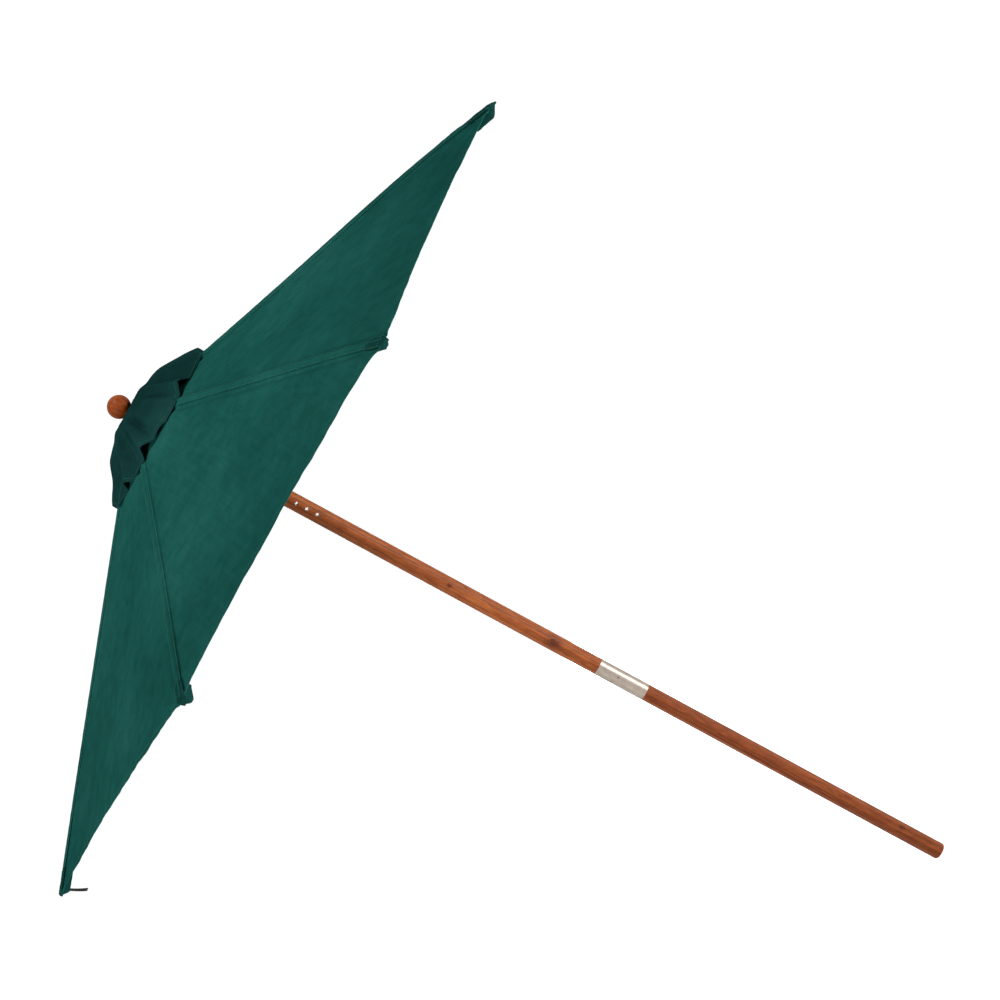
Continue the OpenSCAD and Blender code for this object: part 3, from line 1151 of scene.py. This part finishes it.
@dataclass
class VentCap:
    """The ruffled cap over the canopy's vent: a top on the disc and eight petals."""

    rule: CanopyRule
    top_z: float = 2.0842
    top_r: float = 0.058
    thickness: float = 0.0007
    profile: tuple[tuple[float, float], ...] = (
        (0.000, 0.0), (0.050, 0.0), (0.058, -0.0022), (0.075, -0.0110), (0.098, -0.0165),
        (0.121, -0.0230), (0.153, -0.0380), (0.180, -0.0545), (0.206, -0.0740))
    corners: tuple[float, ...] = (-0.006, -0.004, -0.007, -0.005, -0.010, -0.006, -0.0055, -0.010)
    hollows: tuple[float, ...] = (0.008, 0.008, 0.006, 0.012, 0.024, 0.009, 0.004, 0.012)
    flounces: tuple[Flounce, ...] = (
        Flounce(0.20, 0.014, 0.22, 0.35), Flounce(-0.35, 0.016, 0.20, 0.30, -0.003, 0.5),
        Flounce(0.45, 0.013, 0.30, 0.15), Flounce(-0.10, 0.016, 0.16, 0.30, -0.004, 0.6),
        Flounce(0.30, 0.015, 0.25, 0.18), Flounce(0.12, 0.017, 0.13, 0.19, -0.0045, 0.62, 0.16),
        Flounce(-0.60, 0.019, 0.155, 0.30, 0.005, 0.08, 0.28),
        Flounce(-0.41, 0.017, 0.31, 0.235, 0.002, 0.72, 0.12))
    columns: int = 56
    rows: int = 60
    top_rows: int = 14
    per_side: int = 12
    petal_length: float = 0.170
    seam_rise: float = 0.0034
    edge_ripple: float = 0.0012
    soft_fold: float = 0.0045
    ridge_fold: float = 0.0120
    far_dip: float = 0.0120
    near_dip: float = 0.0080
    clearance: float = 0.0022
    soft_stop: float = 0.004

    def along(self, t: float) -> tuple[float, float]:
        """A point of the cap's section.

        Args:
            t: 0 at the pole, 1 at the edge.

        Returns:
            Distance from the pole and height over the cap's top.
        """
        places = self.profile
        want = t * places[-1][0]
        for i in range(len(places) - 1):
            if want <= places[i + 1][0] or i == len(places) - 2:
                (r0, z0), (r1, z1) = places[i], places[i + 1]
                u = (want - r0) / (r1 - r0)
                before = places[max(0, i - 1)]
                after = places[min(len(places) - 1, i + 2)]
                m0 = (z1 - before[1]) / max(1e-6, r1 - before[0]) * (r1 - r0)
                m1 = (after[1] - z0) / max(1e-6, after[0] - r0) * (r1 - r0)
                if i == 0:
                    m0 = m1 = 0.0
                h = ((2 * u**3 - 3 * u**2 + 1) * z0 + (u**3 - 2 * u**2 + u) * m0
                     + (-2 * u**3 + 3 * u**2) * z1 + (u**3 - u**2) * m1)
                return want, h
        return places[-1]

    def point(self, k: int, t: float, a: float) -> Vector:
        """A point of petal k.

        Args:
            k: the petal, over gore k.
            t: 0 at the pole, 1 at the edge.
            a: -1 and 1 over the two ribs.

        Returns:
            The point.
        """
        rule = self.rule
        r, z = self.along(t)
        grow = smooth(t, 0.34, 1.0) ** 1.25
        edge = smooth(t, 0.55, 1.0)
        turn = rule.gore_turn(k) + a * rule.half
        r *= 1.0 - 0.055 * (1.0 - a * a) * grow
        last, this = (k - 2) % rule.sides, (k - 1) % rule.sides
        before, after = self.corners[last], self.corners[this]
        z += (before + (after - before) * (a + 1.0) / 2.0) * grow
        hollow = (self.hollows[last] * (1 - a) + self.hollows[this] * (1 + a)) / 2
        z -= hollow * bell(t, 0.74, 0.24, 0.20)
        f = self.flounces[this]
        free = 1.0 - abs(a) ** 8
        z += free * f.stand(a) * grow
        around = k * 2.0 + a
        z += free * self.edge_ripple * ripple(around * 3.1, t * 1.3, 2.0) * edge
        z += self.seam_rise * bell(abs(a), 1.0, 0.09, 0.09) * smooth(t, 0.27, 0.45) * (1 - 0.5 * edge)
        soft = ripple(around * 1.7, t * 4.0, 9.0) * smooth(t, 0.28, 0.5) * (1 - edge)
        z += free * self.soft_fold * soft
        z += self.ridge_fold * free * bell(a, f.peak, 0.07, 0.16) * bell(t, 0.60, 0.24, 0.30)
        z -= self.far_dip * free * bell(a, f.peak + 0.42, 0.15, 0.22) * bell(t, 0.62, 0.22, 0.24)
        z -= self.near_dip * free * bell(a, f.peak - 0.30, 0.14, 0.12) * bell(t, 0.66, 0.20, 0.24)
        place = rule.out(turn) * r + Vector((0, 0, self.top_z + z))
        across = r * math.cos(a * rule.half) / math.cos(rule.half)
        floor = rule.over_rib(k, across) + self.clearance + 0.0010 * free
        if place.z < floor + self.soft_stop:
            over = (place.z - floor) / self.soft_stop
            place.z = floor + self.soft_stop * 0.5 * math.exp(over - 1.0)
        return place

    def petal(self, k: int, shelf: Shelf) -> bpy.types.Object:
        """Makes petal k, with its edge turned under."""
        start = self.top_r / self.profile[-1][0]
        rows = []
        for i in range(self.rows + 1):
            t = start + (1.0 - start) * i / self.rows
            rows.append([self.point(k, t, 2.0 * j / self.columns - 1.0)
                         for j in range(self.columns + 1)])
        out = self.rule.out(self.rule.gore_turn(k))
        edge = list(rows[-1])
        for push, drop in ((0.0007, -0.0004), (0.0010, -0.0010), (0.0005, -0.0017), (-0.006, -0.0002),
                           (-0.009, 0.0006)):
            rows.append([p + out * push + Vector((0, 0, drop)) for p in edge])
        petal = new_object(f"cap_petal_{k}", grid_mesh(
            f"petal_{k}", rows, lambda i, j: (j * 0.0028 + k, i * 0.0025)))
        thicken(petal, self.thickness)
        # The petal gets the darker cap cloth, as painted shade.
        shelf.paint(petal, Finish.CAP_PAINTED_SHADE)
        return petal

    def build(self, shelf: Shelf, tree: NodeTree) -> None:
        """Makes the cap and its stitches, and attaches the top to the upper pole."""
        rule = self.rule
        share = self.top_r / self.profile[-1][0]
        rows = []
        for i in range(self.top_rows + 1):
            t = share * (0.09 + 0.91 * i / self.top_rows)
            rows.append([self.point(k, t, 2.0 * j / self.per_side - 1.0)
                         for k in range(1, rule.sides + 1) for j in range(self.per_side)])
        top = new_object("cap_top", grid_mesh("cap_top", rows, lambda i, j: (
            j * 0.003, i * 0.004), loop=True))
        thicken(top, self.thickness)
        # The top gets the darker cap cloth, as painted shade.
        shelf.paint(top, Finish.CAP_PAINTED_SHADE)
        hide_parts("vent_cap")
        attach(top, "pole_upper")
        for k in range(1, rule.sides + 1):
            petal = self.petal(k, shelf)
            out = rule.out(rule.gore_turn(k))
            chain = []
            for j in range(2, self.columns - 1):
                p = self.point(k, 0.965, 2.0 * j / self.columns - 1.0)
                chain.append(p + Vector((0, 0, 0.0002)))
            rows_of = tree.apply(outline(chain, f"cap_stitches_{k}"), Pitch=0.0042, Length=0.0014,
                                 Thread_radius=0.0004, Finish=shelf.get(Finish.THREAD))
            for piece in (petal, rows_of):
                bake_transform(piece)
            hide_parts("vent_cap")
        LOG.info("vent cap with %d petals", rule.sides)


@dataclass
class TieStrap:
    """The short black strap at the fifth corner, which ties the folded canopy."""

    rule: CanopyRule
    rib: int = 5
    length: float = 0.040
    width: float = 0.015
    fixed_r: float = 0.980
    fixed_drop: float = 0.0117
    thickness: float = 0.0018
    lean: float = 28.0
    twist: float = 26.0
    sag: float = 0.001
    slant: float = 0.005

    def build(self, shelf: Shelf) -> None:
        """Makes the strap, which rides on its rib."""
        rule = self.rule
        turn = rule.rib_turn(self.rib)
        out, side = rule.out(turn), rule.side(turn)
        lean = math.radians(self.lean)
        along = -out * math.sin(lean) - Vector((0, 0, math.cos(lean)))
        face = out * math.cos(lean) - Vector((0, 0, math.sin(lean)))
        start = out * self.fixed_r + Vector((0, 0, rule.rim_z - self.fixed_drop))
        rows = []
        steps = 40
        for i in range(steps + 1):
            s = i / steps
            turned = math.radians(self.twist) * (0.9 + 0.1 * s)
            across = side * math.cos(turned) + face * math.sin(turned)
            flat = face * math.cos(turned) - side * math.sin(turned)
            centre = start + along * (self.length * s) + face * (self.sag * math.sin(math.pi * s))
            row = []
            for x, y in self.section():
                cut = self.slant * smooth(s, 0.9, 1.0) * (x + 0.5)
                row.append(centre + across * (x * self.width) + flat * (y * self.thickness)
                           - along * cut)
            rows.append(row)
        mesh = grid_mesh("strap", rows, lambda i, j: (j * 0.0015, i * 0.0012), loop=True)
        close_ends(mesh, len(self.section()), len(rows))
        strap = new_object("closing_strap", mesh)
        shelf.paint(strap, Finish.WEBBING)
        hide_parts("tie_strap")
        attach(strap, f"rib_{self.rib}")
        LOG.info("closing strap, %.0f mm long", 1000 * self.length)

    def section(self) -> list[tuple[float, float]]:
        """The strap's outline, as shares of its width and thickness."""
        top = [(-0.5 + i / 12, 0.5 - 0.14 * (i % 2)) for i in range(13)]
        return top + [(x, -y) for x, y in reversed(top)]


# ---------------------------------------------------------------- wood and metal


@dataclass
class Hardware:
    """The carried-over wood and metal parts, and the screws that hold the brackets."""

    rule: CanopyRule
    head_radius: float = 0.0036
    head_height: float = 0.0016
    screw_reach: float = 0.016
    plate_thickness: float = 0.002
    level_gap: float = 0.0005

    def finishes(self) -> dict[str, Finish]:
        """Which finish each CAD node has."""
        chosen = {"lower_pole": Finish.LOWER_POLE, "upper_pole": Finish.POLE, "ball_finial": Finish.BALL,
                  "top_disc": Finish.HUB, "crown": Finish.HUB, "runner": Finish.HUB,
                  # The rivet gets dark steel, as painted shade of its dimple.
                  "ferrule": Finish.FERRULE, "ferrule_rivet": Finish.RIVET_PAINTED_SHADE,
                  "finial_stud": Finish.STEEL, "crown_pins": Finish.STEEL,
                  "crown_screws": Finish.STEEL, "lock_pin": Finish.STEEL,
                  "lock_ring": Finish.STEEL}
        for k in range(1, self.rule.sides + 1):
            chosen[f"rib_{k}"] = Finish.RIB
            chosen[f"strut_{k}"] = Finish.STRUT
            chosen[f"strut_pins_{k}"] = Finish.STEEL
            chosen[f"rib_bracket_{k}"] = Finish.BRACKET
        return chosen

    def build(self, shelf: Shelf, tree: NodeTree) -> None:
        """Dresses the CAD nodes and adds two screws under each rib's bracket.

        Args:
            shelf: where the finishes come from.
            tree: the tree that makes screw heads.
        """
        for node, finish in self.finishes().items():
            shelf.paint(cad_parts[node], finish)
        lean = math.atan(self.rule.slope)
        for k in range(1, self.rule.sides + 1):
            turn = self.rule.rib_turn(k)
            out = self.rule.out(turn)
            along = out * math.cos(lean) - Vector((0, 0, math.sin(lean)))
            up = out * math.sin(lean) + Vector((0, 0, math.cos(lean)))
            plate = self.plate_centre(k, along, up)
            host = outline([plate + along * self.screw_reach, None,
                            plate - along * self.screw_reach], f"bracket_screws_{k}")
            screws = tree.apply(host, Head_radius=self.head_radius, Head_height=self.head_height,
                                Facing=tuple(-up), Finish=shelf.get(Finish.STEEL))
            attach(screws, f"rib_{k}")
        LOG.info("wood, metal and bracket screws")

    def plate_centre(self, k: int, along: Vector, up: Vector) -> Vector:
        """Middle of the outer face of a bracket's plate, from the CAD node's own points."""
        points = [v.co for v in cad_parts[f"rib_bracket_{k}"].data.vertices]
        top = max(p.dot(up) for p in points)
        near = [p for p in points if top - p.dot(up) < self.level_gap]
        middle = sum(near, Vector()) / len(near)
        reach = (min(p.dot(along) for p in near) + max(p.dot(along) for p in near)) / 2
        side = self.rule.side(self.rule.rib_turn(k))
        return along * reach + up * (top - self.plate_thickness) + side * middle.dot(side)


# ---------------------------------------------------------------- the studio


@dataclass
class Studio:
    """The pale floor, the soft light and the camera."""

    eye: Point = (0.2662, -5.9264, 2.0431)
    right: Point = (0.48141, -0.10921, -0.86967)
    up: Point = (0.87646, 0.06863, 0.47655)
    lens: float = 97.2
    sensor: float = 36.0
    floor_r: float = 30.0

    def camera(self) -> None:
        """Sets up the camera."""
        right, up = Vector(self.right).normalized(), Vector(self.up)
        up = (up - right * up.dot(right)).normalized()
        back = right.cross(up)
        data = bpy.data.cameras.new("camera")
        data.lens, data.sensor_width = self.lens, self.sensor
        data.clip_end = 200.0
        eye = bpy.data.objects.new("camera", data)
        turn = Matrix((right, up, back)).transposed().to_4x4()
        eye.matrix_world = Matrix.Translation(self.eye) @ turn
        bpy.context.scene.collection.objects.link(eye)
        bpy.context.scene.camera = eye

    def lamp(self, name: str, place: Point, target: Point, size: float, power: float,
             colour: Colour = (1.0, 1.0, 1.0)) -> None:
        """Adds a square soft box.

        Args:
            name: its name.
            place: where it stands.
            target: what it points at.
            size: its side.
            power: its power in watts.
            colour: its colour.
        """
        data = bpy.data.lights.new(name, "AREA")
        data.shape, data.size, data.energy, data.color = "SQUARE", size, power, colour
        lamp = bpy.data.objects.new(name, data)
        lamp.location = place
        lamp.visible_camera = False
        away = Vector(place) - Vector(target)
        lamp.rotation_euler = away.to_track_quat("Z", "Y").to_euler()
        bpy.context.scene.collection.objects.link(lamp)

    def floor(self) -> None:
        """Lays the plain pale floor just under the pole's foot."""
        rows = [[Vector((r * math.cos(2 * math.pi * j / 64), r * math.sin(2 * math.pi * j / 64),
                         -0.0005)) for j in range(64)]
                for r in (0.001, self.floor_r / 3, self.floor_r)]
        mesh = grid_mesh("floor", rows, lambda i, j: (0.0, 0.0), loop=True)
        floor = new_object("floor", mesh)
        bench = Bench("floor paint")
        tone = bench.cloud(bench.place("Object"), 0.8, 2.0)
        bench.shade(Base_Color=bench.ramp(tone, ((0.3, (0.88, 0.88, 0.88)), (0.7, (0.92, 0.92, 0.92)))),
                    Roughness=0.9, Specular_IOR_Level=0.1, Emission_Strength=1.0,
                    Emission_Color=(1.0, 1.0, 1.0, 1.0))
        floor.data.materials.append(bench.material)

    def build(self) -> None:
        """Sets up the world, the floor, the lights and the camera."""
        scene = bpy.context.scene
        scene.view_settings.view_transform = "Standard"
        world = bpy.data.worlds.new("world")
        world.use_nodes = True
        ground = next(n for n in world.node_tree.nodes if n.type == "BACKGROUND")
        ground.inputs["Color"].default_value = (1.0, 1.0, 1.0, 1.0)
        ground.inputs["Strength"].default_value = 1.05
        world.cycles_visibility.diffuse = False
        scene.world = world
        self.floor()
        self.lamp("key", (0.45, -0.7, 3.5), (0.0, -0.15, 2.0), 0.35, 26.0)
        self.lamp("side", (3.8, -2.4, 0.5), (0.0, 0.0, 0.9), 1.6, 178.0)
        self.lamp("front", (-3.2, -3.4, 3.2), (0.0, 0.0, 1.6), 1.6, 150.0)
        self.lamp("back", (-0.5, 5.5, 1.4), (0.0, 0.0, 1.6), 2.4, 200.0)
        self.camera()
        LOG.info("studio is set")


def main() -> None:
    """Builds the umbrella's looks in order."""
    logging.basicConfig(level=logging.INFO, format="%(name)s: %(message)s")
    shelf = Shelf()
    rule = CanopyRule()
    sewing, screws = stitch_tree(), screw_tree()
    Studio().build()
    Hardware(rule).build(shelf, screws)
    gores = [Gore(rule, k, streaks=1.5 if k in (5, 6) else 1.0) for k in range(1, rule.sides + 1)]
    seams = [RibSeam(rule, k, end=POCKET_ENDS.get(k, PocketEnd()))
             for k in range(1, rule.sides + 1)]
    for gore, seam in zip(gores, seams):
        gore.build(shelf, sewing)
        seam.build(shelf, sewing)
    for gore, seam in zip(gores, seams):
        gore.flat
        gore.area
        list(seam.pieces)
    VentCap(rule).build(shelf, sewing)
    TieStrap(rule).build(shelf)


if __name__ == "__main__":
    main()
